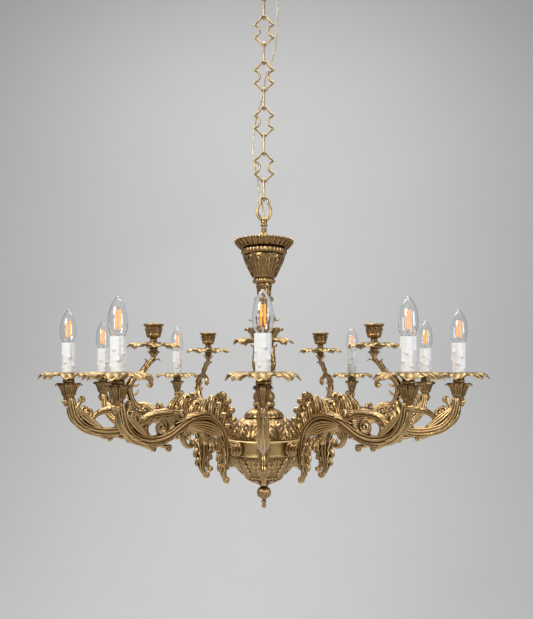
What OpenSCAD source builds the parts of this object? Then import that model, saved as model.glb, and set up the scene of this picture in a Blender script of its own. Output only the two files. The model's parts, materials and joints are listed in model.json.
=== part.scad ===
// Fifteen-arm cast brass chandelier on an ornate chain: ten electric candles on
// large scroll arms and five candle nozzles on smaller upper scrolls.
// The origin is the middle of the ceiling plate's upper face. +Z is up, millimetres.
// Heights inside the fixture are given from the drip-pan level, the datum plane.

/* [Overall] */
// Ceiling face to drip-pan level
drop = 1000; // [990:1:1400]
// Axis of the chandelier to each electric candle
lamp_r = 424; // [420:1:440]
// Axis of the chandelier to each candle nozzle
nozzle_r = 250; // [248:1:254]
// Number of large arms
arm_count = 10; // [10]

/* [Chain] */
// Pitch of one ornate link and one oval link together
chain_pitch = 103.8; // [102:0.1:106]
// Centreline height of an ornate link
ornate_h = 67; // [66:1:70]
// Half-width of an ornate link at its spurs
ornate_w = 20; // [18:1:22]
// Thickness of the ornate links
ornate_t = 5; // [4:0.5:5]
// Inside half-width of an oval link
oval_in = 4.5; // [4.5:0.1:5]
// Thickness of the oval links
oval_t = 4; // [3:0.5:4]
// Height of the lowest link's wire above the drip-pan level
loop_axis_z = 397; // [392:1:400]

/* [Body] */
// Outside radius of the plain drum band
drum_r = 95; // [90:1:96]
// Upper edge of the drum band
drum_top = -144; // [-146:1:-142]
// Lower edge of the drum band
drum_bottom = -177.5; // [-179:0.5:-176]
// Wall thickness of the turned and cast shells
wall = 3; // [2:0.5:4]
// Radius of the tie rod through the stem
rod_r = 4; // [4:0.5:5]
// Radius of the wire way in the tie rod
rod_bore = 2.6; // [2.5:0.1:2.8]
// Clearance of stacked parts round the tie rod
rod_gap = 0.4; // [0.3:0.1:0.6]

/* [Arms] */
// Thickness of the main scroll
arm_t = 16; // [14:1:18]
// Radius of the arm's threaded root pin
root_pin_r = 4; // [3.5:0.5:4.5]
// Height of the root pins
root_z = -160.5; // [-162:0.5:-159]
// Flange radius of the collar between arm and drum
root_flange_r = 15; // [13:1:16]

/* [Candles] */
// Largest radius of the drip pans
pan_r = 62; // [58:1:64]
// Radius of the candle sleeves
sleeve_r = 14; // [13.5:0.5:15]
// Top of the candle sleeves above the drip-pan level
sleeve_top = 65; // [60:1:70]
// Largest radius of the bulbs
bulb_r = 17.5; // [17.5]
// Radius of the hollow of a candle nozzle
nozzle_bore = 11.2; // [10:0.2:12]

/* [Ceiling fitting] */
// Radius of the ceiling plate
plate_r = 40; // [38:1:44]
// Distance between the two ceiling screws
screw_spacing = 56; // [50:1:60]
// Radius of the ceiling screw holes
screw_hole_r = 2.5; // [2:0.5:3]
// Radius of the canopy
canopy_r = 52; // [50:1:60]

/* [Hidden] */
$fn = 48;
arm_pitch = 360 / arm_count;
// Wire centre of the link above to the centreline crown of an ornate link
link_seat = 5.9;
ornate_drop = ornate_h - link_seat;
oval_drop = chain_pitch - ornate_drop;
// Wire centre of the link above to the centre of an oval link's upper bend
oval_lift = -0.4;
hook_axis_z = loop_axis_z + 5 * chain_pitch - drop;
cable_r = 2.3;
loop_t = 5;
gap = 0.3;

brass = [0.62, 0.45, 0.24];
bright_brass = [0.78, 0.62, 0.32];
steel = [0.7, 0.7, 0.68];
ivory = [0.93, 0.92, 0.88];

// ---- outlines ----

// Point and half-width at t on the smooth curve through four keys
function spline(a, b, c, d, t) =
    0.5 * ((2 * b) + (c - a) * t + (2 * a - 5 * b + 4 * c - d) * t * t
    + (3 * b - a - 3 * c + d) * t * t * t);

// Smooth run of samples through all keys, with the given steps between two
function smooth(keys, steps) = let (n = len(keys)) concat(
    [for (i = [0:n - 2]) for (k = [0:steps - 1])
        spline(keys[max(i - 1, 0)], keys[i], keys[i + 1], keys[min(i + 2, n - 1)], k / steps)],
    [keys[n - 1]]);

function heading(p, i) = let (a = p[max(i - 1, 0)], b = p[min(i + 1, len(p) - 1)],
    dx = b[0] - a[0], dy = b[1] - a[1], l = sqrt(dx * dx + dy * dy)) [dx / l, dy / l];

// Outline of a stroke whose keys are [across, up, half-width]
function stroke_outline(p) = let (n = len(p)) concat(
    [for (i = [0:n - 1]) let (h = heading(p, i))
        [p[i][0] - h[1] * p[i][2], p[i][1] + h[0] * p[i][2]]],
    [for (j = [0:n - 1]) let (i = n - 1 - j, h = heading(p, i))
        [p[i][0] + h[1] * p[i][2], p[i][1] - h[0] * p[i][2]]]);

// Flat stroke standing in the plane of X and Z, t thick
module stroke(keys, t, steps = 3) {
    rotate([90, 0, 0]) linear_extrude(height = t, center = true)
        polygon(stroke_outline(smooth(keys, steps)));
}

// Solid of revolution from [radius, height] points
module turned(points) {
    rotate_extrude() polygon(points);
}

// Ring of revolution between an outside profile and a bore
module turned_ring(profile, bore) {
    n = len(profile);
    turned(concat([[bore, profile[0][1]]], profile, [[bore, profile[n - 1][1]]]));
}

// Places children at the drip-pan level
module at_pans() {
    translate([0, 0, -drop]) children();
}

// Places children on arm number i: the first arm points towards -Y, the next go round to -X
module on_arm(i) {
    at_pans() rotate([0, 0, -90 - (i - 1) * arm_pitch]) children();
}

module at_lamp(i) {
    on_arm(i) translate([lamp_r, 0, 0]) children();
}

// Candle nozzles stand on every second arm
module at_nozzle(i) {
    on_arm(2 * i - 1) translate([nozzle_r, 0, 0]) children();
}

// ---- ceiling fitting ----

module ceiling_plate() {
    color(steel) difference() {
        translate([0, 0, -4]) cylinder(r = plate_r, h = 4);
        for (s = [-1, 1]) translate([s * screw_spacing / 2, 0, -5]) cylinder(r = screw_hole_r, h = 6);
        translate([0, 0, -5]) cylinder(r = 3.05, h = 6);
    }
}

// Shank and eye; the eye stands in the plane of Y and Z and carries the chain
module ceiling_hook() {
    eye_r = 8;
    eye = [for (a = [-250:20:70]) [eye_r * cos(a), eye_r * sin(a), oval_t / 2]];
    shank_foot = hook_axis_z + 2 * eye_r - 1;
    color(bright_brass) union() {
        translate([0, 0, hook_axis_z + eye_r]) rotate([0, 0, 90]) stroke(eye, oval_t, 1);
        translate([0, 0, shank_foot]) cylinder(r = 3, h = -1 - shank_foot);
    }
}

module ceiling_canopy() {
    depth = 36;
    color(brass) translate([0, 0, -4 - gap - depth]) difference() {
        turned([[0, 0], [16, 0], [22, 4], [38, 10], [canopy_r - 2, 24], [canopy_r, depth - 2],
                [canopy_r, depth], [canopy_r - 2, depth], [canopy_r - 4.5, 25], [37, 13], [20, 7], [0, 3]]);
        translate([0, 0, -1]) cylinder(r = 3.4, h = 6);
        translate([26, 0, -1]) cylinder(r = cable_r + 0.6, h = 30);
    }
}

module canopy_nut() {
    color(bright_brass) translate([0, 0, -45.6]) difference() {
        cylinder(r = 8, h = 5);
        translate([0, 0, -1]) cylinder(r = 3.05, h = 7);
    }
}

// Supply cable: route beside and through the chain, heights above the drip-pan level
cable_route = [[26, 0, 976], [26, 0, 950], [30, -2, 900], [31, -3, 850], [31, -5, 810], [27, -7, 760],
    [21, -9, 725], [14, -10, 702], [8, -8, 690], [3, 0, 677], [1, 9, 661], [-3, 13, 645], [-10, 12, 618],
    [-18, 9, 588], [-23, 8, 560], [-25, 8, 520], [-23, 9, 490], [-19, 9, 468], [-15, 10, 448],
    [-12, 11, 432], [-8, 10, 412], [-6, 8, 398], [-3, 4, 384], [0, 0, 368], [0, 0, 352], [0, 0, 338]];

function unit(v) = v / norm(v);

// Ring of points round the route at sample i, in a frame that never turns over
function cable_ring(p, i, sides) = let (
    d = unit(p[min(i + 1, len(p) - 1)] - p[max(i - 1, 0)]),
    u = unit(cross(d, [0, 1, 0])),
    v = cross(d, u))
    [for (k = [0:sides - 1]) p[i] + cable_r * (cos(360 * k / sides) * u + sin(360 * k / sides) * v)];

module supply_cable() {
    sides = 10;
    path = smooth(cable_route, 2);
    rings = len(path);
    points = [for (i = [0:rings - 1]) each cable_ring(path, i, sides)];
    sides_faces = [for (i = [0:rings - 2]) for (k = [0:sides - 1]) let (n = (k + 1) % sides)
        [i * sides + k, i * sides + n, (i + 1) * sides + n, (i + 1) * sides + k]];
    end_faces = [[for (k = [sides - 1:-1:0]) k], [for (k = [0:sides - 1]) (rings - 1) * sides + k]];
    color([0.75, 0.66, 0.42]) at_pans() polyhedron(points, concat(sides_faces, end_faces));
}

// ---- chain ----

// Half of the ornate link's centreline, from the lower crown to the upper one
ornate_half = [[0.2, -0.5], [1, -0.215], [0.7, -0.15], [0.5, -0.07],
    [0.5, 0.07], [0.7, 0.15], [1, 0.215], [0.2, 0.5]];

// Ornate link number i, counted from the ceiling, in the plane of X and Z
module ornate_link(i) {
    top = hook_axis_z - (i - 1) * chain_pitch + link_seat;
    half = ornate_t / 2;
    scaled = [for (q = ornate_half) [q[0] * ornate_w, q[1] * ornate_h]];
    ring = concat(scaled, [for (j = [len(scaled) - 1:-1:0]) [-scaled[j][0], scaled[j][1]]]);
    n = len(ring);
    function inward(k) = let (a = ring[(k + n - 1) % n], b = ring[k], c = ring[(k + 1) % n],
        u = unit(b - a), v = unit(c - b), m = unit([-u[1] - v[1], u[0] + v[0]]))
        m * half / (m * [-u[1], u[0]]);
    color(bright_brass) translate([0, 0, top - ornate_h / 2]) rotate([90, 0, 0])
        linear_extrude(height = ornate_t, center = true) difference() {
            polygon([for (k = [0:n - 1]) ring[k] - inward(k)]);
            polygon([for (k = [0:n - 1]) ring[k] + inward(k)]);
        }
}

// Outline of an oval link: straight sides and round ends
function oval_outline(r, z0, z1) = concat(
    [for (a = [0:15:180]) [r * cos(a), z1 + r * sin(a)]],
    [for (a = [180:15:360]) [r * cos(a), z0 + r * sin(a)]]);

// Oval link number i, in the plane of Y and Z
module oval_link(i) {
    carrier = hook_axis_z - (i - 1) * chain_pitch - ornate_drop;
    z1 = carrier + oval_lift;
    z0 = carrier - oval_drop + oval_t / 2 + oval_in;
    color(bright_brass) rotate([90, 0, 90]) linear_extrude(height = oval_t, center = true) difference() {
        polygon(oval_outline(oval_in + oval_t, z0, z1));
        polygon(oval_outline(oval_in, z0, z1));
    }
}

// ---- central body, heights from the drip-pan level ----

// Lyre-shaped loop that hangs on the lowest oval link
module hanging_loop() {
    seat = loop_axis_z + link_seat;
    side = [[0, seat, 2.5], [4.5, seat, 2.5], [8.5, seat - 5, 2.5], [9, seat - 12, 2.5],
        [14, seat - 22, 2.8], [15.5, seat - 32, 3.2], [12, seat - 42, 4], [5, 352, 5]];
    color(bright_brass) at_pans() difference() {
        union() {
            stroke(side, loop_t, 2);
            mirror([1, 0, 0]) stroke(side, loop_t, 2);
            translate([0, 0, 345]) cylinder(r = 7, h = 12);
        }
        translate([0, 0, 344]) cylinder(r = rod_r + 0.05, h = 9);
        translate([0, 0, 340]) cylinder(r = rod_bore + 0.2, h = 24);
    }
}

module loop_collar() {
    color(bright_brass) at_pans() turned_ring([[6, 338], [8, 340], [8, 342.5], [6, 345]], rod_r + rod_gap);
}

module tie_rod() {
    color(steel) at_pans() difference() {
        translate([0, 0, -262]) cylinder(r = rod_r, h = 614);
        translate([0, 0, -255]) cylinder(r = rod_bore, h = 620);
    }
}

module top_knob() {
    color(brass) at_pans() turned_ring([[17, 290], [17, 300], [13, 316], [12, 322], [8, 331], [5, 335]],
        rod_r + rod_gap);
}

// Open leaf gallery standing on the ring
module crown_gallery() {
    color(brass) at_pans() turned([[rod_r + rod_gap, 286], [49, 286], [55, 291], [60, 296], [68, 303],
        [66, 303.5], [58, 298], [52, 293], [47, 290], [rod_r + rod_gap, 290]]);
}

module gadroon_ring() {
    color(brass) at_pans() turned_ring([[46, 272], [50, 273], [52, 277], [52, 281], [50, 285], [46, 286]],
        rod_r + rod_gap);
}

module urn() {
    color(brass) at_pans() turned([[12, 219], [25, 219], [28, 226], [34, 240], [41, 254], [45, 264],
        [45.5, 272], [42.5, 272], [42, 265], [38, 256], [31, 242], [25, 228], [22, 222.5], [12, 222.5]]);
}

module urn_foot() {
    color(brass) at_pans() turned_ring([[18, 207], [24, 208], [26, 212], [26, 215], [24, 219]],
        rod_r + rod_gap);
}

module neck() {
    color(brass) at_pans() turned_ring([[17, 165], [21.6, 169], [21.6, 175], [15.5, 180], [15, 186],
        [15.5, 195], [18, 207]], rod_r + rod_gap);
}

module baluster() {
    color(brass) at_pans() turned_ring([[13, 106], [15, 112], [22, 120], [25, 128], [24, 138], [19, 150],
        [15, 158], [17, 165]], rod_r + rod_gap);
}

module flare_cup() {
    color(brass) at_pans() turned_ring([[24, 78], [25, 84], [28, 92], [34, 100], [42, 105], [41, 106],
        [13, 106]], rod_r + rod_gap);
}

module stem_column() {
    color(brass) at_pans() turned_ring([[18, -38], [17, -34], [17, -8], [20, 0], [24, 10], [25, 30],
        [22, 60], [24, 78]], rod_r + rod_gap);
}

module stem_knop() {
    color(brass) at_pans() turned_ring([[22, -74], [25, -70], [25, -64], [22, -60], [25, -54], [25, -46],
        [18, -38]], rod_r + rod_gap);
}

module dome_cap() {
    color(brass) at_pans() turned_ring([[44, -98], [45, -94], [40, -86], [30, -79], [22, -74]],
        rod_r + rod_gap);
}

module dome() {
    color(brass) at_pans() turned([[80, -144], [77, -136], [72, -123], [64, -111], [54, -103], [44, -98],
        [rod_r + rod_gap, -98], [rod_r + rod_gap, -101.5], [42, -101.5], [52, -106.5], [61, -114],
        [68.5, -125], [73.5, -137], [76.5, -144]]);
}

module drum_band() {
    color(bright_brass) at_pans() difference() {
        turned([[74, drum_top], [drum_r, drum_top], [drum_r, drum_bottom], [70, drum_bottom],
            [70, drum_bottom + wall], [drum_r - wall, drum_bottom + wall],
            [drum_r - wall, drum_top - wall], [74, drum_top - wall]]);
        for (i = [1:arm_count]) rotate([0, 0, -90 - (i - 1) * arm_pitch])
            translate([drum_r - 10, 0, root_z]) rotate([0, 90, 0]) cylinder(r = root_pin_r + 0.2, h = 20);
    }
}

module bowl() {
    color(brass) at_pans() turned([[74, drum_bottom], [78, drum_bottom], [76, -183], [73, -191], [66, -200],
        [56, -211], [44, -229], [42, -235], [26, -242], [14, -247], [rod_r + rod_gap, -247],
        [rod_r + rod_gap, -243.5], [13, -243.5], [24, -239], [39, -231.5], [52, -211], [62, -200],
        [69.5, -190], [72.5, -182]]);
}

module finial_collar() {
    color(brass) at_pans() turned_ring([[7, -254], [11, -252.5], [12, -250], [10, -247]], rod_r + rod_gap);
}

module finial() {
    color(brass) at_pans() difference() {
        turned([[0, -305], [3, -304.3], [5.2, -300], [4.5, -296.5], [3.5, -294.5], [6, -292], [6, -289.5],
                [4.5, -287], [6, -284], [10, -279], [14, -272], [15, -266], [13, -260], [8, -255.5],
                [7, -254], [0, -254]]);
        translate([0, 0, -263]) cylinder(r = rod_r + 0.05, h = 12);
    }
}

// Terminal block inside the drum, round the tie rod
module junction_block() {
    color(ivory) at_pans() difference() {
        translate([-24, -10, -140]) cube([48, 20, 16]);
        translate([0, 0, -141]) cylinder(r = rod_r + 0.05, h = 18);
    }
}

// ---- large arms ----

// Keys are [distance from the axis, height, half-width]
main_scroll = [[lamp_r - 6, -44, 8], [lamp_r - 7, -62, 9], [lamp_r - 10, -85, 9.5],
    [lamp_r - 19, -103, 9.5], [lamp_r - 36, -116, 9.5], [365, -121.5, 9], [343, -123, 9],
    [322, -121, 9], [303, -116, 9], [285, -107, 9], [265, -96.5, 9], [245, -88.5, 8.5], [222, -84, 8],
    [200, -84.5, 8], [180, -90, 8.5], [163, -102, 9], [150, -118, 10], [143, -138, 13],
    [141, -158, 16], [141, -178, 16], [140, -196, 12], [138, -210, 8], [134, -224, 6]];
oval_scroll = [[363, -116, 4], [368, -104, 4.5], [366, -90, 5], [352, -79, 5], [330, -75, 5.5],
    [305, -74.5, 5.5], [286, -80, 5.5], [270, -90, 5]];
under_hook = [[261, -101, 4], [265, -114, 5], [261, -128, 5], [251, -137, 4.5], [240, -139, 4],
    [232, -137, 3]];
crest_leaf = [[201, -82, 8], [201, -66, 7], [199, -54, 4], [198, -48, 1.5]];
crest_spray = [[158, -106, 7], [161, -84, 8], [168, -62, 6], [174, -46, 2]];
// Seat of an upper arm on its large arm
foot_x = 277;
foot_z = -79;
foot_r = 6;
// Flat face of an arm's root against its collar
root_seat = drum_r + 30;

// Casting of one large arm with its leaf cup and root pin
module scroll_arm(i) {
    color(brass) on_arm(i) difference() {
        union() {
            difference() {
                stroke(main_scroll, arm_t);
                translate([root_seat - 5, -arm_t, root_z - root_flange_r])
                    cube([5, 2 * arm_t, 2 * root_flange_r]);
            }
            stroke(oval_scroll, arm_t - 5);
            stroke(under_hook, arm_t - 6);
            stroke(crest_leaf, arm_t - 4);
            stroke(crest_spray, arm_t - 2);
            translate([drum_r - 17, 0, root_z]) rotate([0, 90, 0]) cylinder(r = root_pin_r, h = 60);
            if (i % 2 == 1) translate([foot_x, 0, foot_z - 12]) cylinder(r = foot_r + 0.5, h = 12);
            translate([lamp_r, 0, 0]) turned([[0, -56], [7, -56], [11, -50], [11, -42], [13, -32],
                [19, -22], [20, -17], [0, -17]]);
        }
        translate([lamp_r, 0, -34]) cylinder(r = 5.05, h = 20);
        if (i % 2 == 1) translate([foot_x, 0, foot_z - 16]) cylinder(r = 2.6, h = 20);
        if (i % 2 == 1) translate([foot_x, 0, foot_z]) cylinder(r = foot_r + 0.5, h = 9);
    }
}

// Turned collar between the arm's root and the drum
module root_collars() {
    color(brass) for (i = [1:arm_count]) on_arm(i) translate([0, 0, root_z]) rotate([0, 90, 0])
        turned_ring([[13, drum_r + gap], [root_flange_r, drum_r + 3], [root_flange_r, drum_r + 8],
            [10, drum_r + 13], [9, drum_r + 20], [11, root_seat]], root_pin_r + rod_gap);
}

module root_nuts() {
    color(steel) for (i = [1:arm_count]) on_arm(i)
        translate([drum_r - wall - 6.6, 0, root_z]) rotate([0, 90, 0])
        difference() {
            cylinder(r = 8, h = 6, $fn = 6);
            translate([0, 0, -1]) cylinder(r = root_pin_r + 0.05, h = 8);
        }
}

// ---- upper arms ----

stem_path = [[foot_x, foot_z + 3, 3.5], [289, -60, 4], [299, -40, 4], [298, -22, 4], [285, -5, 4],
    [273, 8, 4], [263, 22, 4.5], [253, 34, 5], [250, 44, 5]];
stem_leaf = [[287, -7, 3], [277, 2, 3.5], [265, -2, 3.5], [258, -10, 3.5], [256, -20, 3]];

module upper_arm(i) {
    color(brass) on_arm(2 * i - 1) difference() {
        union() {
            stroke(stem_path, 9);
            stroke(stem_leaf, 7);
            translate([nozzle_r, 0, 40]) cylinder(r = 5.5, h = 12);
            translate([foot_x, 0, foot_z]) cylinder(r = foot_r, h = 4);
            translate([foot_x, 0, foot_z - 15]) cylinder(r = 2.4, h = 17);
        }
        translate([nozzle_r, 0, 43]) cylinder(r = 2.6, h = 12);
    }
}

// ---- pans, nozzles and electric candles ----

module lower_drip_pans() {
    color(bright_brass) for (i = [1:arm_count]) at_lamp(i) turned_ring([[11, -17], [13, -10], [14, -4],
        [30, -3], [48, 0], [pan_r - 4, -4], [pan_r, -9], [pan_r, -7.5], [pan_r - 4, -1.5], [48, 3], [30, 1],
        [20, 2], [14, 4]],
        5.3);
}

module upper_drip_pans() {
    color(bright_brass) for (i = [1:5]) at_nozzle(i) turned_ring([[7, 52], [9, 56], [22, 60], [42, 65],
        [pan_r - 7, 61], [pan_r - 5, 58], [pan_r - 4, 59], [pan_r - 7, 64], [42, 67.5], [22, 65],
        [8, 65]], 2.9);
}

module candle_nozzles() {
    color(brass) for (i = [1:5]) at_nozzle(i) difference() {
        turned([[0, 45], [2.5, 45], [2.5, 65], [7, 65], [6, 70], [6, 74], [13, 78], [15, 84], [15.5, 96],
                [20, 104], [21, 106], [21, 109], [0, 109]]);
        translate([0, 0, 84]) cylinder(r = nozzle_bore, h = 30);
    }
}

module candle_sleeves() {
    color(ivory) for (i = [1:arm_count]) at_lamp(i) translate([0, 0, 4]) difference() {
        cylinder(r = sleeve_r, h = sleeve_top - 4);
        translate([0, 0, -1]) cylinder(r = sleeve_r - 1.6, h = sleeve_top);
    }
}

module lampholders() {
    color(ivory) for (i = [1:arm_count]) at_lamp(i) difference() {
        union() {
            translate([0, 0, -32]) cylinder(r = 5, h = 37);
            translate([0, 0, 4]) cylinder(r = sleeve_r - 2.2, h = 50);
        }
        translate([0, 0, 30]) cylinder(r = 7.3, h = 30);
    }
}

module bulb_caps() {
    color(steel) for (i = [1:arm_count]) at_lamp(i)
        turned([[0, 31], [3, 31.5], [4.5, 35], [7, 37], [7, 59], [0, 59]]);
}

module bulb_glasses() {
    outer = [[8.5, 59], [9, 62], [11.5, 67], [15.5, 76], [bulb_r, 88], [17, 98], [14, 110], [9, 121.5],
             [4, 130], [0, 135]];
    inner = [[0, 132.5], [3, 129], [8, 120.5], [13, 109.5], [16, 97.5], [bulb_r - 1, 88], [14.5, 76.5],
             [10.5, 67.5], [8, 62.5], [7.6, 59]];
    color([0.85, 0.9, 0.92, 0.35]) for (i = [1:arm_count]) at_lamp(i) turned(concat(outer, inner));
}

module bulb_filaments() {
    color([1, 0.62, 0.2]) for (i = [1:arm_count]) at_lamp(i) union() {
        translate([0, 0, 59]) cylinder(r = 3, h = 15);
        translate([0, 0, 73]) cylinder(r = 5.5, h = 1.2);
        translate([0, 0, 113]) cylinder(r = 5.5, h = 1.2);
        for (a = [45:90:315]) rotate([0, 0, a]) translate([4.3, 0, 74]) cylinder(r = 0.9, h = 39.5);
    }
}

ceiling_plate();
ceiling_hook();
ceiling_canopy();
canopy_nut();
supply_cable();
for (i = [1:5]) ornate_link(i);
for (i = [1:5]) oval_link(i);
hanging_loop();
loop_collar();
tie_rod();
top_knob();
crown_gallery();
gadroon_ring();
urn();
urn_foot();
neck();
baluster();
flare_cup();
stem_column();
stem_knop();
dome_cap();
dome();
drum_band();
bowl();
finial_collar();
finial();
junction_block();
for (i = [1:10]) scroll_arm(i);
for (i = [1:5]) upper_arm(i);
root_collars();
root_nuts();
lower_drip_pans();
upper_drip_pans();
candle_nozzles();
candle_sleeves();
lampholders();
bulb_glasses();
bulb_caps();
bulb_filaments();
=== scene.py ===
"""Looks of a cast brass chandelier with ten electric candles and five candle nozzles.

Shapes are made in millimetres. Arm shapes lie in the plane of X (away from the axis) and Z (up),
with heights from the drip-pan level; placed() turns them round the axis and lifts them into the frame.
"""
import json
import math

import bmesh
import bpy
import numpy as np
from mathutils import Matrix, Vector

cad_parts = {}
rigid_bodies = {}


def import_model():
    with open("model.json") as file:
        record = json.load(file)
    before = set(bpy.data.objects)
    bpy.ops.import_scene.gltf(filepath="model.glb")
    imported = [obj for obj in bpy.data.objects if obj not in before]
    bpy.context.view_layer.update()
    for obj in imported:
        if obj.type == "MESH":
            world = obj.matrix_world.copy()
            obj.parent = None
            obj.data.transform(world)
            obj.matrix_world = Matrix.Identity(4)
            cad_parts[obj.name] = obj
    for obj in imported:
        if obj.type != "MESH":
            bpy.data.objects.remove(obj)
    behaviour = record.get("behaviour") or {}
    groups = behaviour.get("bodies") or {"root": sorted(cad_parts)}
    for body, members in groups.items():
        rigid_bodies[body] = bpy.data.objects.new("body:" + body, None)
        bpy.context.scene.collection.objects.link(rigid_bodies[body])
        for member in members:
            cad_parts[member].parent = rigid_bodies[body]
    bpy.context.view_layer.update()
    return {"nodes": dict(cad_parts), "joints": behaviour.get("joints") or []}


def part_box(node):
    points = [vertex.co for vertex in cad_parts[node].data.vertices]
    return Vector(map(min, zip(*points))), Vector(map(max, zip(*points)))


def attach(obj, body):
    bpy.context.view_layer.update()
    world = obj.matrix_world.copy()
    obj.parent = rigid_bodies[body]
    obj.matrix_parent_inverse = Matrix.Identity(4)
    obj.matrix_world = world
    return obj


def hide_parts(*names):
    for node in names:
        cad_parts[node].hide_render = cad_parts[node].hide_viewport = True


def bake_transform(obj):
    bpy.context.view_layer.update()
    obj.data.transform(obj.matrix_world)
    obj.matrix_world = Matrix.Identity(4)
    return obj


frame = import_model()

MM = 0.001
ARMS = 10
PITCH = 360 / ARMS
PAN_BELOW_LEVEL = 0.017
SLEEVE_R = 0.014
PAN_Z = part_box("lower_drip_pans")[0].z + PAN_BELOW_LEVEL
LAMP_R = (-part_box("candle_sleeves")[0].y - SLEEVE_R) / MM
NOZZLE_R = 250
FIXTURE = "fixture"


# ---- curves and surfaces ----

def smooth(keys, steps):
    """Catmull-Rom curve through all keys, with the given steps between two."""
    keys = np.array(keys, float)
    padded = np.vstack([keys[:1], keys, keys[-1:]])
    rows = []
    for a, b, c, d in zip(padded, padded[1:], padded[2:], padded[3:]):
        for k in range(steps):
            t = k / steps
            rows.append(0.5 * (2 * b + (c - a) * t + (2 * a - 5 * b + 4 * c - d) * t**2
                               + (3 * b - a - 3 * c + d) * t**3))
    return np.array(rows + [keys[-1]])


def headings(points):
    """Unit tangents along a line of points."""
    d = np.gradient(points, axis=0)
    return d / np.linalg.norm(d, axis=1, keepdims=True)


def grid_faces(rows, columns, wrap_rows=False, wrap_columns=True):
    """Quads between the points of a grid, which may close on itself either way."""
    faces = []
    for i in range(rows if wrap_rows else rows - 1):
        for k in range(columns if wrap_columns else columns - 1):
            n, m = (i + 1) % rows, (k + 1) % columns
            faces.append([i * columns + k, i * columns + m, n * columns + m, n * columns + k])
    return faces


def sweep(keys, steps=5, sides=18, flutes=0, depth=0.0, twist=0.0, y=0.0):
    """Bar along keys of [out, up, half-width, half-thickness], with grooves along it and rounded ends."""
    rows = smooth(keys, steps)
    t = headings(rows[:, :2])
    across = np.stack([-t[:, 1], t[:, 0]], 1)
    n = len(rows)
    share = np.linspace(0, 1, n)
    end = np.minimum(1, np.sqrt(np.clip(np.minimum(share, 1 - share) * n / 2.2, 0.02, 1)))
    phi = np.linspace(0, 2 * math.pi, sides, endpoint=False)
    verts = []
    for i in range(n):
        f = 1 - depth * (0.5 + 0.5 * np.cos(flutes * phi + twist * share[i])) if flutes else np.ones(sides)
        off = rows[i, 2] * np.cos(phi) * f * end[i]
        x = rows[i, 0] + across[i, 0] * off
        z = rows[i, 1] + across[i, 1] * off
        verts.append(np.stack([x, y + rows[i, 3] * np.sin(phi) * f * end[i], z], 1))
    faces = grid_faces(n, sides) + [list(range(sides))[::-1], [(n - 1) * sides + k for k in range(sides)]]
    return np.vstack(verts), faces


def leaf(keys, lobes=4, notch=0.45, cup=0.5, relief=0.9, thick=1.8, wrap=False, steps=10, across=13, lean=0.5):
    """Acanthus leaf along keys of [out, up, half-width]: scalloped edges, a midrib and a vein to each lobe.

    Its edges bend to the side that the curve's left hand points away from. wrap lays it round the Z axis.
    """
    rows = smooth(keys, steps)
    t = headings(rows[:, :2])
    normal = np.stack([-t[:, 1], t[:, 0]], 1)
    n = len(rows)
    u = np.linspace(0, 1, n)
    v = np.linspace(-1, 1, across)
    scallop = np.abs(np.sin(math.pi * lobes * u)) ** 0.6
    width = rows[:, 2] * (1 - notch + notch * scallop)
    width = width * np.sqrt(np.clip(1.02 - u**6, 0.02, 1))
    sheets = []
    for lower in (0.0, 1.0):
        points = []
        for i in range(n):
            w = width[i]
            veins = np.abs(np.cos(math.pi * lobes * (u[i] - 0.35 * np.abs(v) / lobes))) * np.abs(v)
            height = relief * (veins + 0.9 * np.exp(-(v / 0.16) ** 2)) - cup * w * v**2
            height = height - lower * thick * (1 - 0.55 * v**2)
            forward = lean * w * np.abs(v) ** 1.5
            x = rows[i, 0] + normal[i, 0] * height + t[i, 0] * forward
            z = rows[i, 1] + normal[i, 1] * height + t[i, 1] * forward
            y = v * w
            if wrap:
                turn = y / np.maximum(x, 1.0)
                x, y = x * np.cos(turn), x * np.sin(turn)
            points.append(np.stack([x, y, z], 1))
        sheets.append(np.vstack(points))
    count = n * across
    top = grid_faces(n, across, wrap_columns=False)
    bottom = [[count + k for k in f[::-1]] for f in top]
    rim = ([i * across for i in range(n)] + [(n - 1) * across + k for k in range(1, across)]
           + [i * across + across - 1 for i in range(n - 2, -1, -1)] + list(range(across - 2, 0, -1)))
    sides = [[rim[k], rim[(k + 1) % len(rim)], count + rim[(k + 1) % len(rim)], count + rim[k]]
             for k in range(len(rim))]
    return np.vstack(sheets), top + bottom + [s[::-1] for s in sides]


def lathe(profile, segments=96, steps=1, ripple=None):
    """Solid of revolution from a closed loop of [radius, height]; ripple(angle, radius, height) adds to the radius."""
    rows = smooth(profile, steps) if steps > 1 else np.array(profile, float)
    angle = np.linspace(0, 2 * math.pi, segments, endpoint=False)
    verts = []
    for r, z in rows:
        radius = np.full(segments, r)
        if ripple is not None and r > 0:
            radius = radius + ripple(angle, r, z)
        verts.append(np.stack([radius * np.cos(angle), radius * np.sin(angle), np.full(segments, z)], 1))
    return np.vstack(verts), grid_faces(len(rows), segments, wrap_rows=True)


def turned(outer, inner, segments=96, steps=4, ripple=None):
    """Shell or ring between an outer and an inner profile, both listed from the bottom up."""
    rows = list(smooth(outer, steps)) + list(np.array(inner, float)[::-1])
    return lathe(rows, segments, ripple=ripple)


def ball(x, y, z, r, sides=12):
    """Round bead."""
    rings = sides // 2 + 1
    polar = np.linspace(0, math.pi, rings)
    phi = np.linspace(0, 2 * math.pi, sides, endpoint=False)
    verts = [[x + r * math.sin(p) * math.cos(a), y + r * math.sin(p) * math.sin(a), z + r * math.cos(p)]
             for p in polar for a in phi]
    return np.array(verts), grid_faces(rings, sides)


def beads(count, radius, z, r):
    """Ring of beads round the Z axis."""
    return [ball(radius * math.cos(a), radius * math.sin(a), z, r, 10)
            for a in np.linspace(0, 2 * math.pi, count, endpoint=False)]


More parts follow.
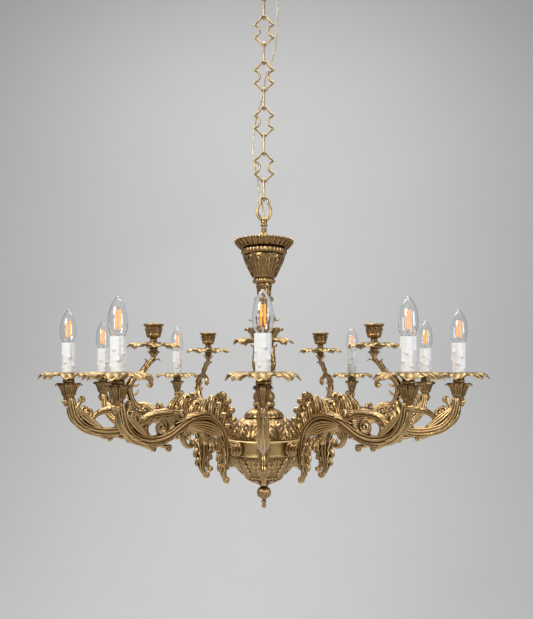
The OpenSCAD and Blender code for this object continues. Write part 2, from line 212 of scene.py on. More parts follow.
def spun(part, count, start=0.0):
    """Copies of a part, turned evenly round the Z axis."""
    verts, faces = part
    made = []
    for k in range(count):
        a = math.radians(start) + 2 * math.pi * k / count
        turn = np.array([[math.cos(a), math.sin(a), 0], [-math.sin(a), math.cos(a), 0], [0, 0, 1]])
        made.append((verts @ turn, faces))
    return made


def moved(part, x=0.0, y=0.0, z=0.0):
    return part[0] + np.array([x, y, z]), part[1]


def flattened(part, share):
    """A part squeezed across its own plane."""
    return part[0] * np.array([1, share, 1]), part[1]


def mesh_of(name, parts):
    """One mesh from several closed parts, in metres."""
    verts, faces, base = [], [], 0
    for v, f in parts:
        verts.append(v)
        faces += [[base + k for k in face] for face in f]
        base += len(v)
    mesh = bpy.data.meshes.new(name)
    mesh.from_pydata((np.vstack(verts) * MM).tolist(), [], faces)
    work = bmesh.new()
    work.from_mesh(mesh)
    bmesh.ops.remove_doubles(work, verts=work.verts, dist=1e-6)
    bmesh.ops.recalc_face_normals(work, faces=work.faces)
    work.to_mesh(mesh)
    work.free()
    mesh.shade_smooth()
    return mesh


def placed(name, mesh, material, slot, body, replaced, arm=None, x=0.0):
    """Object at the drip-pan level; arm number, from 1, turns it round the axis and x sets it out along the arm."""
    obj = bpy.data.objects.new(name, mesh)
    bpy.context.scene.collection.objects.link(obj)
    turn = math.radians(-90 - (arm - 1) * PITCH) if arm else 0.0
    obj.matrix_world = (Matrix.Translation((0, 0, PAN_Z)) @ Matrix.Rotation(turn, 4, "Z")
                        @ Matrix.Translation((x * MM, 0, 0)))
    if not mesh.materials:
        mesh.materials.append(material)
    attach(obj, body)
    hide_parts(*replaced)
    return obj


# ---- materials ----

def node_tree(name):
    material = bpy.data.materials.new(name)
    material.use_nodes = True
    nodes, links = material.node_tree.nodes, material.node_tree.links
    return material, nodes, links, nodes["Principled BSDF"]


def noise(nodes, links, scale, detail=4.0, stretch=None):
    """Noise texture in object coordinates, in metres."""
    where = nodes.new("ShaderNodeTexCoord")
    texture = nodes.new("ShaderNodeTexNoise")
    texture.inputs["Scale"].default_value = scale
    texture.inputs["Detail"].default_value = detail
    if stretch:
        mapping = nodes.new("ShaderNodeMapping")
        mapping.inputs["Scale"].default_value = stretch
        links.new(where.outputs["Object"], mapping.inputs["Vector"])
        links.new(mapping.outputs["Vector"], texture.inputs["Vector"])
    else:
        links.new(where.outputs["Object"], texture.inputs["Vector"])
    return texture.outputs["Fac"]


def ramp(nodes, links, source, stops):
    """Colour ramp from (place, grey or colour) stops."""
    node = nodes.new("ShaderNodeValToRGB")
    elements = node.color_ramp.elements
    while len(elements) < len(stops):
        elements.new(0.5)
    for element, (place, colour) in zip(elements, stops):
        element.position = place
        element.color = (*colour, 1) if isinstance(colour, tuple) else (colour, colour, colour, 1)
    links.new(source, node.inputs["Fac"])
    return node.outputs["Color"]


def mixed(nodes, links, factor, a, b):
    """Colour between a and b, each a colour or a socket."""
    node = nodes.new("ShaderNodeMix")
    node.data_type = "RGBA"
    links.new(factor, node.inputs["Factor"])
    for socket, value in ((node.inputs["A"], a), (node.inputs["B"], b)):
        if isinstance(value, tuple):
            socket.default_value = (*value, 1)
        else:
            links.new(value, socket)
    return node.outputs["Result"]


def bumped(nodes, links, shader, height, distance, strength=0.5):
    bump = nodes.new("ShaderNodeBump")
    bump.inputs["Strength"].default_value = strength
    bump.inputs["Distance"].default_value = distance
    links.new(height, bump.inputs["Height"])
    links.new(bump.outputs["Normal"], shader.inputs["Normal"])


def brass(name, shade_and_tarnish, middle, bright, rough, wear=(0.49, 0.56), grain=0.00025, shade_reach=0.009):
    """Aged brass: painted shade darkens the hollows by ambient occlusion, edges are rubbed bright, with a blotchy
    tarnish and cast grain.
    """
    material, nodes, links, shader = node_tree(name)
    tarnish = ramp(nodes, links, noise(nodes, links, 42, 6), [(0.35, 0.0), (0.68, 1.0)])
    body = mixed(nodes, links, tarnish, tuple(0.62 * m + 0.38 * d for m, d in zip(middle, shade_and_tarnish)), middle)
    geometry = nodes.new("ShaderNodeNewGeometry")
    edge = ramp(nodes, links, geometry.outputs["Pointiness"], [(wear[0], 0.0), (wear[1], 1.0)])
    worn = mixed(nodes, links, edge, body, bright)
    # painted shade: ambient occlusion darkens the hollows and creases towards the darkest colour, which also tints the
    # tarnish
    hollow = nodes.new("ShaderNodeAmbientOcclusion")
    hollow.samples = 6
    hollow.inputs["Distance"].default_value = shade_reach
    shade = ramp(nodes, links, hollow.outputs["AO"], [(0.25, 0.0), (0.85, 1.0)])
    links.new(mixed(nodes, links, shade, shade_and_tarnish, worn), shader.inputs["Base Color"])
    shader.inputs["Metallic"].default_value = 1.0
    dull = ramp(nodes, links, noise(nodes, links, 110, 5), [(0.3, rough[0]), (0.75, rough[1])])
    links.new(dull, shader.inputs["Roughness"])
    bumped(nodes, links, shader, noise(nodes, links, 900, 5), grain, 0.6)
    return material


def plain(name, colour, rough, metallic=0.0, spread=0.08, scale=60, grain=0.0002):
    """Even material with a slight unevenness of colour and surface."""
    material, nodes, links, shader = node_tree(name)
    low = tuple(c * (1 - spread) for c in colour)
    links.new(mixed(nodes, links, noise(nodes, links, scale), low, colour), shader.inputs["Base Color"])
    shader.inputs["Metallic"].default_value = metallic
    shader.inputs["Roughness"].default_value = rough
    bumped(nodes, links, shader, noise(nodes, links, scale * 8), grain, 0.4)
    return material


def wax():
    material, nodes, links, shader = node_tree("wax_white")
    tone = mixed(nodes, links, noise(nodes, links, 70), (0.88, 0.875, 0.86), (0.96, 0.955, 0.94))
    links.new(tone, shader.inputs["Base Color"])
    shader.inputs["Roughness"].default_value = 0.42
    shader.inputs["Subsurface Weight"].default_value = 0.15
    shader.inputs["Subsurface Radius"].default_value = (0.004, 0.003, 0.002)
    bumped(nodes, links, shader, noise(nodes, links, 260), 0.0004, 0.5)
    return material


def clear_glass():
    material, nodes, links, shader = node_tree("clear_glass")
    shader.inputs["Base Color"].default_value = (0.97, 0.98, 0.98, 1)
    shader.inputs["Transmission Weight"].default_value = 1.0
    shader.inputs["Roughness"].default_value = 0.01
    shader.inputs["IOR"].default_value = 1.46
    bumped(nodes, links, shader, noise(nodes, links, 30, 1.0), 0.0002, 0.15)
    return material


def glowing():
    """Orange light strips; noise stands for the phosphor's grain."""
    material, nodes, links, shader = node_tree("filament_orange")
    tone = mixed(nodes, links, noise(nodes, links, 500), (1.0, 0.26, 0.02), (1.0, 0.46, 0.08))
    links.new(tone, shader.inputs["Base Color"])
    links.new(tone, shader.inputs["Emission Color"])
    shader.inputs["Emission Strength"].default_value = 1.3
    shader.inputs["Roughness"].default_value = 0.5
    return material


AGED = brass("aged_brass", (0.022, 0.011, 0.004), (0.30, 0.175, 0.068), (0.80, 0.55, 0.26), (0.26, 0.44))
PANS = brass("pan_brass", (0.045, 0.026, 0.010), (0.27, 0.18, 0.072), (0.64, 0.45, 0.21), (0.34, 0.50),
             wear=(0.495, 0.54))
POLISHED = brass("polished_brass", (0.22, 0.14, 0.05), (0.86, 0.59, 0.25), (0.94, 0.71, 0.37), (0.36, 0.48),
                 grain=0.00006)
CHAIN = brass("chain_brass", (0.08, 0.05, 0.018), (0.33, 0.21, 0.08), (0.68, 0.48, 0.22), (0.28, 0.44))
STEEL = plain("zinc_steel", (0.62, 0.61, 0.58), 0.34, metallic=1.0)
WAX = wax()
INSULATION = plain("ivory_insulation", (0.85, 0.83, 0.76), 0.45)
GLASS = clear_glass()
FILAMENT = glowing()
SHEATH = plain("gold_sheath", (0.72, 0.60, 0.36), 0.24, metallic=0.35, spread=0.25, scale=300)


# ---- large arm ----

def volute(x, z, r, start, turns, width, thickness, shrink=0.72):
    """Keys of a curl that winds in from radius r at the start angle, in degrees; turns may be negative."""
    steps = max(6, int(abs(turns) * 12))
    keys = []
    for k in range(steps + 1):
        s = k / steps
        a = math.radians(start + 360 * turns * s)
        radius = r * (1 - shrink * s)
        keys.append([x + radius * math.cos(a), z + radius * math.sin(a), width * (1 - 0.45 * s),
                     thickness * (1 - 0.3 * s)])
    return keys


def finger(base, bend, tip, width=4.5, thickness=4.0, y=0.0):
    """Pointed leaf finger from base over bend to tip, each [out, up]."""
    return sweep([[*base, width, thickness], [*bend, width * 0.85, thickness], [*tip, width * 0.3, thickness * 0.5]],
                 steps=6, sides=14, flutes=6, depth=0.16, y=y)


def curl(stem, x, z, r, start, turns, width, thickness, eye=0.0, y=0.0):
    """Leafy tendril: a stem of [out, up] points that ends in a small volute round (x, z), with a round eye."""
    keys = [[*point, width * 1.15, thickness] for point in stem]
    parts = [sweep(keys + volute(x, z, r, start, turns, width, thickness)[1:], steps=3, sides=18, flutes=6,
                   depth=0.22, y=y)]
    if eye:
        parts.append(ball(x, y, z, eye, 12))
    return parts


def ridges(path, offsets, width, thickness):
    """Nested flutes beside a path of [out, up] points: each bows away from it and runs back into it."""
    line = smooth(path, 5)
    t = headings(line)
    left = np.stack([-t[:, 1], t[:, 0]], 1)
    bow = np.sin(np.linspace(0, math.pi, len(line))) ** 0.75
    parts = []
    for k, offset in enumerate(offsets):
        place = line + left * (offset * bow)[:, None]
        size = 0.5 + 0.5 * bow
        rows = np.column_stack([place, width * size, (thickness - 0.7 * k) * size])
        parts.append(sweep(rows[::2], steps=2, sides=14))
    return parts


def candle_cup():
    """Fluted trumpet under a lamp with a softly rolled, scalloped lip, round the Z axis."""
    def flutes(angle, r, z):
        rise = np.clip((z + 60) / 42, 0, 1)
        return (0.5 + 1.9 * rise) * (np.abs(np.cos(4 * angle)) ** 0.7 - 0.5) * (r > 6)
    bell = turned([[8.5, -66], [10, -62], [9.5, -54], [10.2, -47], [12, -39], [15, -31], [18.6, -24.5], [21.5, -20.5],
                   [23, -18.2], [22, -17.3]], [[1, -66], [1, -17.3]], 96, 4, flutes)
    lips = spun(leaf([[12.5, -44, 5], [15.5, -33, 6.6], [19.5, -25, 7.6], [23, -20.5, 7.6], [25.4, -21, 6],
                      [25.6, -24, 3.6]], lobes=1, notch=0.1, cup=0.12, wrap=True, relief=-0.9, thick=-1.6, steps=6),
                      8)
    ring = turned([[9, -60], [12, -58], [12.4, -56], [12, -54], [9, -52.5]], [[1, -60], [1, -52.5]], 48, 3)
    return [bell, ring] + lips


def arm_scrolls():
    """Bars and curls of the large arm."""
    main = [[419, -46, 8, 8], [418, -62, 9, 9], [414, -81, 10.2, 10], [405, -98, 10.8, 10.4],
            [389, -111.5, 11, 10.6], [366, -119, 11, 10.6], [343, -121.6, 11, 10.6], [322, -119.6, 10.8, 10.4],
            [303, -114.5, 10.4, 10.2], [285, -105.8, 10, 10], [265, -96, 9.8, 9.8], [245, -88.2, 9.6, 9.6],
            [222, -84, 9.4, 9.4], [200, -84.5, 9.4, 9.4], [180, -90, 9.8, 9.6], [163, -102, 10.4, 10],
            [150, -118, 10.8, 10.2], [143.5, -136, 10.5, 10], [141, -154, 12.5, 10.5], [141, -172, 12.5, 10.5],
            [143, -188, 9.8, 9], [144, -201, 7.6, 7.4], [141, -213, 5.8, 6.2], [135, -221, 4.8, 5.4]]
    parts = [sweep(main, steps=7, sides=44, flutes=9, depth=0.24, twist=2.0)]
    elbow = [[415, -62], [413, -80], [405, -96], [391, -108.5], [372, -116], [352, -119]]
    parts += ridges(elbow, (-12.5, -17.5, -22), 3.6, 9)
    arch = [[262, -96], [245, -89], [222, -84.5], [200, -85], [180, -90.5], [164, -102], [152, -117],
            [145, -134]]
    parts += ridges(arch, (11.5, 16.5, 21.5, 26.5, 31), 3.4, 9)
    upper_c = [[380, -106, 4.5, 6], [377, -94, 5.2, 6.6], [368, -83, 6, 7], [352, -76.5, 6.4, 7],
               [330, -74.5, 6.4, 7], [305, -75, 6.2, 6.8], [287, -81, 5.8, 6.4], [271, -91, 5.4, 6]]
    parts.append(sweep(upper_c, steps=8, sides=30, flutes=8, depth=0.24))
    parts += curl([], 320, -98, 21, 20, 1.6, 3.8, 6.4, eye=4.6)
    parts += curl([[404, -92], [397, -92]], 387, -79, 11.5, -60, -1.1, 4.4, 6.2, eye=5)
    parts += curl([[284, -84], [276, -88]], 268, -77, 9.5, -100, -1.15, 4.2, 6, eye=4.4)
    hook = [[257, -96, 5, 5.5], [264, -108, 5.4, 6], [266, -122, 5.4, 6], [259, -135, 5.2, 5.8],
            [246, -141, 4.8, 5.4], [236, -137, 4.2, 5], [235, -130, 3.6, 4.4]]
    parts.append(sweep(hook, steps=7, sides=22, flutes=7, depth=0.22))
    parts.append(ball(239, 0, -132, 6, 14))
    parts += curl([[214, -112], [206, -124]], 198, -131, 8, -20, -1.1, 4, 6, eye=4.2)
    parts += curl([[196, -108], [186, -124]], 178, -134, 8, -20, -1.1, 4, 6, eye=4.2)
    # curls on the underside and inside the neck
    parts += curl([[330, -129], [316, -134]], 304, -139, 6, 90, 1.1, 3.4, 4.6, eye=3.4)
    parts += curl([[366, -128], [352, -133]], 342, -136, 5, 90, 1.1, 3, 4.2, eye=2.8)
    parts += curl([[414, -84], [408, -68], [402, -58]], 397.5, -53, 5.5, 10, 1.1, 4.2, 6, eye=3.4)
    parts += curl([[412, -94], [400, -80]], 392, -73, 6, 10, 1.1, 4.2, 6, eye=3.6)
    parts += curl([[420, -70], [428, -62]], 431, -55, 4.5, -70, 0.8, 3.2, 4.6, eye=2.8)
    return parts


def arm_leaves():
    """Acanthus of the large arm, on both its edges."""
    parts = []
    # under the elbow and the middle of the arm
    parts.append(leaf([[427, -62, 5], [426, -80, 8.5], [418, -98, 10.5], [402, -112.5, 11.5], [384, -121.5, 11],
                       [364, -129.5, 9], [350, -133, 5]], lobes=6, cup=0.55, thick=2.4, relief=1.7, notch=0.25))
    parts.append(leaf([[352, -132, 6], [336, -133, 9.5], [318, -130.5, 10], [302, -126, 8], [290, -122, 4]],
                      lobes=4, cup=0.55, thick=2.2, relief=1.6, notch=0.25))
    parts.append(leaf([[300, -124, 5], [282, -116, 8.5], [264, -107.5, 9], [250, -102, 5]],
                      lobes=3, cup=0.55, thick=2, relief=1.5, notch=0.25))
    # over the arch, down to the crest
    parts.append(leaf([[290, -93, 5], [270, -85, 8.5], [248, -78.5, 10], [226, -74.5, 10.5], [208, -74.5, 8.5],
                       [198, -72, 5]], lobes=5, cup=-0.55, thick=-2.2, relief=-1.7, notch=0.3))
    parts.append(leaf([[206, -75, 5], [190, -79, 10], [174, -87.5, 12], [158, -100.5, 12], [146, -115.5, 11],
                       [136, -134, 9], [130, -146, 5]], lobes=6, cup=-0.5, thick=-2.4, relief=-1.8, notch=0.35))
    parts.append(leaf([[378, -90, 4], [366, -76, 7], [350, -69.5, 8.5], [330, -67.5, 9], [306, -68, 8.5],
                       [288, -73.5, 5]], lobes=5, cup=-0.5, thick=-2, relief=-1.5, notch=0.3))
    # cartouche at the root, hanging below the drum
    parts.append(leaf([[159, -126, 5], [157, -142, 10], [156, -160, 13], [154.5, -176, 12.5], [152.5, -192, 9.5],
                       [150, -206, 6.5], [144, -218, 4]], lobes=5, cup=0.45, thick=2.6, relief=2, notch=0.35))
    parts.append(leaf([[130, -144, 5], [126.5, -158, 9], [127.5, -174, 9.5], [133, -190, 7.5], [136, -203, 4.5]],
                      lobes=4, cup=-0.45, thick=-2.2, relief=-1.7, notch=0.35))
    return parts


def arm_fingers():
    """Curled leaf lobes of the crest and fluted lobes of the root."""
    crest = [((186, -84), (187, -66), (176, -53), 8.5), ((167, -94), (165, -77), (155, -68), 9),
             ((153, -110), (148, -97), (138, -90), 8.6), ((145, -130), (137, -118), (127, -113), 7.4)]
    parts = [sweep([[213, -84, 8, 7.5], [211, -68, 8.6, 7.5], [203, -55, 5.4, 5], [198, -46.5, 1.6, 2]], steps=8,
                   sides=30, flutes=7, depth=0.26)]
    for base, bend, eye, size in crest:
        fan = [[base[0], base[1] - 4, size * 1.1, 9], [*bend, size * 1.05, 9], [eye[0] + 2, eye[1] + 3, size * 0.75,
                                                                                7]]
        parts.append(sweep(fan, steps=8, sides=30, flutes=8, depth=0.3))
        parts += curl([bend], *eye, size, 10, 1.1, size * 0.5, 8.5, eye=size * 0.5)
    # lobes of the cartouche: outer edge, inner edge, and the ball at its foot
    for x, z, size in ((157, -152, 8), (158, -173, 8), (155, -192, 6.6)):
        lobe = [[x - 13, z + 13, size, 8], [x - 4, z + 6, size * 0.95, 8], [x + 1, z - 4, size * 0.7, 6.5],
                [x - 1, z - 10, size * 0.4, 4]]
        parts.append(sweep(lobe, steps=7, sides=28, flutes=8, depth=0.28))
    for x, z, size in ((126, -156, 6.4), (126, -176, 6.4), (131, -193, 5)):
        lobe = [[x + 12, z + 12, size, 8], [x + 4, z + 6, size * 0.9, 7.5], [x, z - 3, size * 0.7, 6],
                [x + 1, z - 8, size * 0.4, 4]]
        parts.append(sweep(lobe, steps=7, sides=28, flutes=8, depth=0.28))
    parts += curl([[141, -213], [138, -222]], 133, -221, 6, -10, -0.9, 4.2, 6, eye=5.4)
    return parts


def large_arms():
    spigot = sweep([[124, -160.5, 9, 9], [128, -160.5, 11, 11], [131, -160.5, 9, 9]], steps=4, sides=24)
    cup = [moved(flattened(p, 0.6), x=LAMP_R) for p in candle_cup()]
    socket = turned([[8, -24], [9.5, -22], [8.6, -20.4], [10.6, -19], [10.4, -17.5], [8, -17]],
                    [[1, -24], [1, -17]], 48, 3)
    mesh = mesh_of("large_arm", arm_scrolls() + arm_leaves() + arm_fingers() + cup
                   + [moved(socket, x=LAMP_R), spigot])
    for i in range(1, ARMS + 1):
        placed(f"large_arm_{i:02d}", mesh, AGED, "aged_brass", FIXTURE, [f"scroll_arm_{i}"], arm=i)


def root_spools():
    """Turned collars between the arms and the drum."""
    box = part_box("root_collars")
    outer = -box[0].y / MM
    length = outer - 95.3
    profile = [[95.3, 12], [97, 14.8], [100, 15], [102.5, 14.2], [104, 11.5], [108, 10.2], [112, 9.2], [116, 9.6],
               [118, 12], [121, 12.2], [123, 10.4], [95.3 + length, 11]]
    rows = [[r, x] for x, r in profile]
    verts, faces = turned(rows, [[4.6, 95.3], [4.6, 95.3 + length]], 48, 3)
    lying = np.stack([verts[:, 2], verts[:, 1], -verts[:, 0] - 160.5], 1)
    mesh = mesh_of("root_spool", [(lying, faces)])
    for i in range(1, ARMS + 1):
        placed(f"root_spool_{i:02d}", mesh, AGED, "aged_brass", FIXTURE, ["root_collars"], arm=i)


# ---- upper arm ----

def upper_arms():
    scroll = [[275, -76, 4.5, 5], [288, -64, 5.5, 6], [298, -46, 6.2, 6.4], [300, -26, 6.4, 6.6], [292, -10, 6.2,
                                                                                                   6.4],
              [279, -3.5, 6, 6.2], [266, -5, 5.8, 6], [257, -13, 5.2, 5.6], [255, -22, 4.4, 5], [260, -28, 3.4, 4]]
    parts = [sweep(scroll, steps=8, sides=26, flutes=8, depth=0.2)]
    stem = [[284, -8, 4.5, 4.8], [275, 3, 5.2, 5.2], [267, 15, 5.2, 5], [258, 26, 5, 4.8], [251, 35, 5.2, 5],
            [250, 43, 5, 5]]
    parts.append(sweep(stem, steps=8, sides=22, flutes=6, depth=0.2))
    parts.append(ball(261, 0, -23, 4.6, 14))
    parts.append(leaf([[284, -70, 3], [298, -57, 6.5], [305, -40, 7.5], [306, -22, 7], [298, -6, 5], [287, 2,
                                                                                                      3]][::-1],
                      lobes=5, cup=-0.5, thick=-1.8, relief=-1.4))
    parts.append(leaf([[290, -12, 3], [279, 6, 6], [269, 20, 6.5], [264, 29, 4.5], [268, 34, 2.5]],
                      lobes=4, cup=-0.4, thick=1.6, relief=-0.9))
    parts.append(leaf([[268, 4, 3], [258, 19, 5.5], [248, 29, 6], [240, 33, 4], [236, 29, 2.5]],
                      lobes=4, cup=0.4, thick=1.6, relief=0.9))
    parts += [finger((292, -44), (286, -40), (281, -32), 3.2, 4), finger((293, -24), (286, -24), (280, -19), 3.2, 4),
              finger((299, -50), (306, -47), (307, -41), 3, 3.4)]
    foot = moved(turned([[6, -79], [7, -78], [6.5, -76], [5, -74]], [[1, -79], [1, -74]], 32, 3), x=277)
    neck = turned([[4.5, 38], [6.5, 40], [6, 42], [4.5, 43.5], [5, 46], [8, 49.5], [8.2, 51.5], [7, 52]],
                  [[1, 38], [1, 52]], 40, 4)
    petals = spun(leaf([[5, 40, 3], [8, 44, 3.5], [11, 49, 3.2], [12.5, 47, 2]], lobes=2, cup=-0.1, wrap=True,
                       steps=4,
                       thick=1.2), 6)
    parts += [foot] + [moved(p, x=NOZZLE_R) for p in [neck] + petals]
    mesh = mesh_of("upper_arm", parts)
    for i in range(1, 6):
        placed(f"upper_scroll_{i}", mesh, AGED, "aged_brass", FIXTURE, [f"upper_arm_{i}"], arm=2 * i - 1)


# ---- pans, nozzles and candles ----

def pan_mesh(name, radius, hub, base_top, rim_drop, petals, hole):
    """Dish of wavy petals, 2 mm thick, with a beaded hub; base_top is the hub's upper face."""
    rings, segments, thick = 24, 256, 1.5
    angle = np.linspace(0, 2 * math.pi, segments, endpoint=False)
    top = []
    for k in range(rings):
        s = k / (rings - 1)
        r = hub + (radius - hub) * s
        petal = np.abs(np.cos(petals * angle / 2))
        edge = 1 - 0.24 * s**2.5 * (1 - petal**0.5)
        ruffle = np.cos(petals * 3 * angle + 0.8 * np.sin(petals * angle))
        wave = 1.3 * s**2 * ruffle + 1.6 * s**2 * np.sin(petals * angle)
        curl = -rim_drop * s**5 * (0.15 + 0.95 * petal**2) + 2.6 * math.sin(math.pi * s**0.8)
        vein = 0.9 * np.exp(-(np.sin(petals * angle / 2) / 0.12) ** 2) * math.sin(math.pi * min(1, s * 1.1))
        radial = r * edge
        top.append(np.stack([radial * np.cos(angle), radial * np.sin(angle), base_top + curl + wave - vein], 1))
    top = np.vstack(top)
    low = top - np.array([0, 0, thick])
    count = rings * segments
    faces = grid_faces(rings, segments)
    closed = faces + [[count + k for k in f[::-1]] for f in faces]
    for ring in (0, rings - 1):
        base = ring * segments
        for k in range(segments):
            n = (k + 1) % segments
            closed.append([base + k, base + n, count + base + n, count + base + k])
    hub_part = turned([[hub + 0.6, base_top - 3.2], [hub + 2.2, base_top - 0.5], [hub + 1.0, base_top + 1.6],
                       [hub - 2, base_top + 1.9]], [[hole, base_top - 3.2], [hole, base_top + 1.9]], 64, 3)
    return mesh_of(name, [(np.vstack([top, low]), closed), hub_part] + beads(24, hub + 4.4, base_top + 0.9, 1.0))


def pans():
    lower = pan_mesh("lower_pan", 60.5, 15, 1.8, 9, 8, 5.4)
    upper = pan_mesh("upper_pan", 56.5, 9, 65.2, 6, 8, 3.0)
    spacer = mesh_of("pan_spacer", [turned([[11, -17], [12, -13], [10.5, -9], [13.5, -5], [15, -1.6], [14.5, 0.5]],
                                           [[5.4, -17], [5.4, 0.5]], 56, 4)])
    gallery = mesh_of("upper_pan_seat", [turned([[7.5, 52], [9.5, 54], [8, 57], [11, 60.5], [10.5, 62.2]],
                                                [[3, 52], [3, 62.2]], 48, 4)])
    for i in range(1, ARMS + 1):
        placed(f"lower_pan_{i:02d}", lower, PANS, "bright_brass", FIXTURE, ["lower_drip_pans"], arm=i, x=LAMP_R)
        placed(f"pan_spacer_{i:02d}", spacer, PANS, "bright_brass", FIXTURE, ["lower_drip_pans"], arm=i, x=LAMP_R)
    for i in range(1, 6):
        arm = 2 * i - 1
        placed(f"upper_pan_{i}", upper, PANS, "bright_brass", FIXTURE, ["upper_drip_pans"], arm=arm, x=NOZZLE_R)
        placed(f"upper_pan_seat_{i}", gallery, PANS, "bright_brass", FIXTURE, ["upper_drip_pans"], arm=arm,
               x=NOZZLE_R)


def nozzles():
    """Embossed bell nozzles for wax candles, with open hollows."""
    def emboss(angle, r, z):
        return 0.8 * np.abs(np.cos(5 * angle + 0.05 * z)) * ((z > 78) & (z < 100) & (r > 12.5))
    outer = [[7.5, 67], [9.6, 68], [9.4, 70], [7.4, 72.5], [7.2, 76], [8.8, 79], [13, 81.5], [15.2, 84],
             [15, 87], [15.4, 92], [16, 96.5], [16.8, 100], [19.2, 103.4], [21.8, 106], [21.8, 107.6], [21, 108.8]]
    inner = [[2, 67], [2, 84], [11.2, 84], [11.2, 107.5], [12.5, 109]]
    cup = turned(outer, inner, 90, 4, emboss)
    leaves = spun(leaf([[12.6, 79, 3], [14.2, 84, 4.2], [15.8, 90, 4.8], [17.6, 96, 4], [19.4, 99.5, 2.4]], lobes=3,
                       cup=0.05, wrap=True, steps=5, thick=-1.0, relief=-0.8), 8)
    mesh = mesh_of("nozzle", [cup] + leaves + beads(30, 20.8, 106.6, 0.9) + beads(24, 14.8, 84, 1.1)
                   + beads(26, 16.6, 100.5, 0.9))
    for i in range(1, 6):
        placed(f"nozzle_{i}", mesh, AGED, "aged_brass", FIXTURE, ["candle_nozzles"], arm=2 * i - 1, x=NOZZLE_R)


def sleeves():
    """White candle sleeves with moulded drips of wax."""
    drips = [(0.3, 40, 0.30), (0.95, 22, 0.24), (1.7, 33, 0.34), (2.5, 16, 0.22), (3.15, 28, 0.30), (3.9, 44, 0.26),
             (4.6, 20, 0.30), (5.25, 34, 0.26), (5.85, 12, 0.24)]

    def run(angle, r, z):
        grown = np.zeros_like(angle)
        if r < 12.7:
            return grown
        for at, bottom, width in drips:
            apart = np.angle(np.exp(1j * (angle - at)))
            below = 1 / (1 + np.exp(-(z - bottom) * 1.4))
            drop = 0.9 * np.exp(-((z - bottom - 2.5) / 2.6) ** 2)
            grown += 1.8 * np.exp(-(apart / width) ** 2) * (below + drop)
        lumps = 0.25 * np.sin(3 * angle + z * 0.31) * np.sin(5 * angle - z * 0.23)
        return np.minimum(grown, 3.0) - 1.1 + lumps
    heights = np.linspace(4.2, 64.2, 44)
    outer = [[13.3, z] for z in heights] + [[12.9, 65.0]]
    rows = outer + [[12.1, 65.2], [11.9, 64], [11.9, 4.2]]
    mesh = mesh_of("sleeve", [lathe(rows, 96, ripple=run)])
    for i in range(1, ARMS + 1):
        placed(f"sleeve_{i:02d}", mesh, WAX, "sleeve", FIXTURE, ["candle_sleeves"], arm=i, x=LAMP_R)


def bulbs():
    """Clear candle bulbs with four upright light strips on a glass stem."""
    outer = smooth([[8.4, 59.2], [9.2, 62], [12.2, 67], [15.4, 73.5], [17.2, 82], [17.4, 91], [16.8, 101], [15,
                                                                                                            110.5],
                    [12, 119], [8.2, 126], [4.8, 130], [3.4, 131.8], [3.2, 133.8], [0.001, 135]], 5)
    inner = [[max(r - 0.8, 0.0005), z - 0.3 * (z > 130)] for r, z in outer]
    glass = mesh_of("bulb_glass", [lathe(list(outer) + inner[::-1], 56)])
    stem = lathe(smooth([[0.001, 59.2], [5.8, 59.2], [4.5, 62], [2.3, 66], [1.6, 72], [2.2, 74], [0.001, 75]], 3), 24)
    stem_mesh = mesh_of("bulb_stem", [stem])
    strip = sweep([[5.2, 76, 0.75, 0.75], [4.6, 90, 0.75, 0.75], [4.6, 104, 0.75, 0.75], [5, 112, 0.7, 0.7]], 4, 10)
    strips = mesh_of("light_strips", spun(strip, 4, 25))
    lead = sweep([[1.4, 72, 0.22, 0.22], [3.6, 74, 0.22, 0.22], [5.2, 77, 0.22, 0.22]], 4, 8)
    over = sweep([[5, 112, 0.22, 0.22], [3, 115, 0.22, 0.22], [0.4, 116, 0.22, 0.22]], 4, 8)
    leads = mesh_of("strip_leads", spun(lead, 4, 25) + spun(over, 4, 25))
    for i in range(1, ARMS + 1):
        lamp = dict(body=FIXTURE, arm=i, x=LAMP_R)
        placed(f"bulb_glass_{i:02d}", glass, GLASS, "bulb_glass", replaced=["bulb_glasses"], **lamp)
        placed(f"bulb_stem_{i:02d}", stem_mesh, GLASS, "bulb_glass", replaced=["bulb_filaments"], **lamp)
        placed(f"light_strips_{i:02d}", strips, FILAMENT, "filament", replaced=["bulb_filaments"], **lamp)
        placed(f"strip_leads_{i:02d}", leads, STEEL, "steel", replaced=["bulb_filaments"], **lamp)


# ---- central body ----

def gadroon(count, depth, low=-1e9, high=1e9):
    """Ripple of rounded lobes between two heights."""
    def ripple(angle, r, z):
        return depth * (np.abs(np.cos(count * angle / 2)) ** 0.8 - 1) * ((z >= low) & (z <= high))
    return ripple


def body_piece(name, node, parts, material=None, slot="aged_brass", body=FIXTURE):
    return placed(name, mesh_of(name, parts), material or AGED, slot, body, [node] if isinstance(node, str) else node)


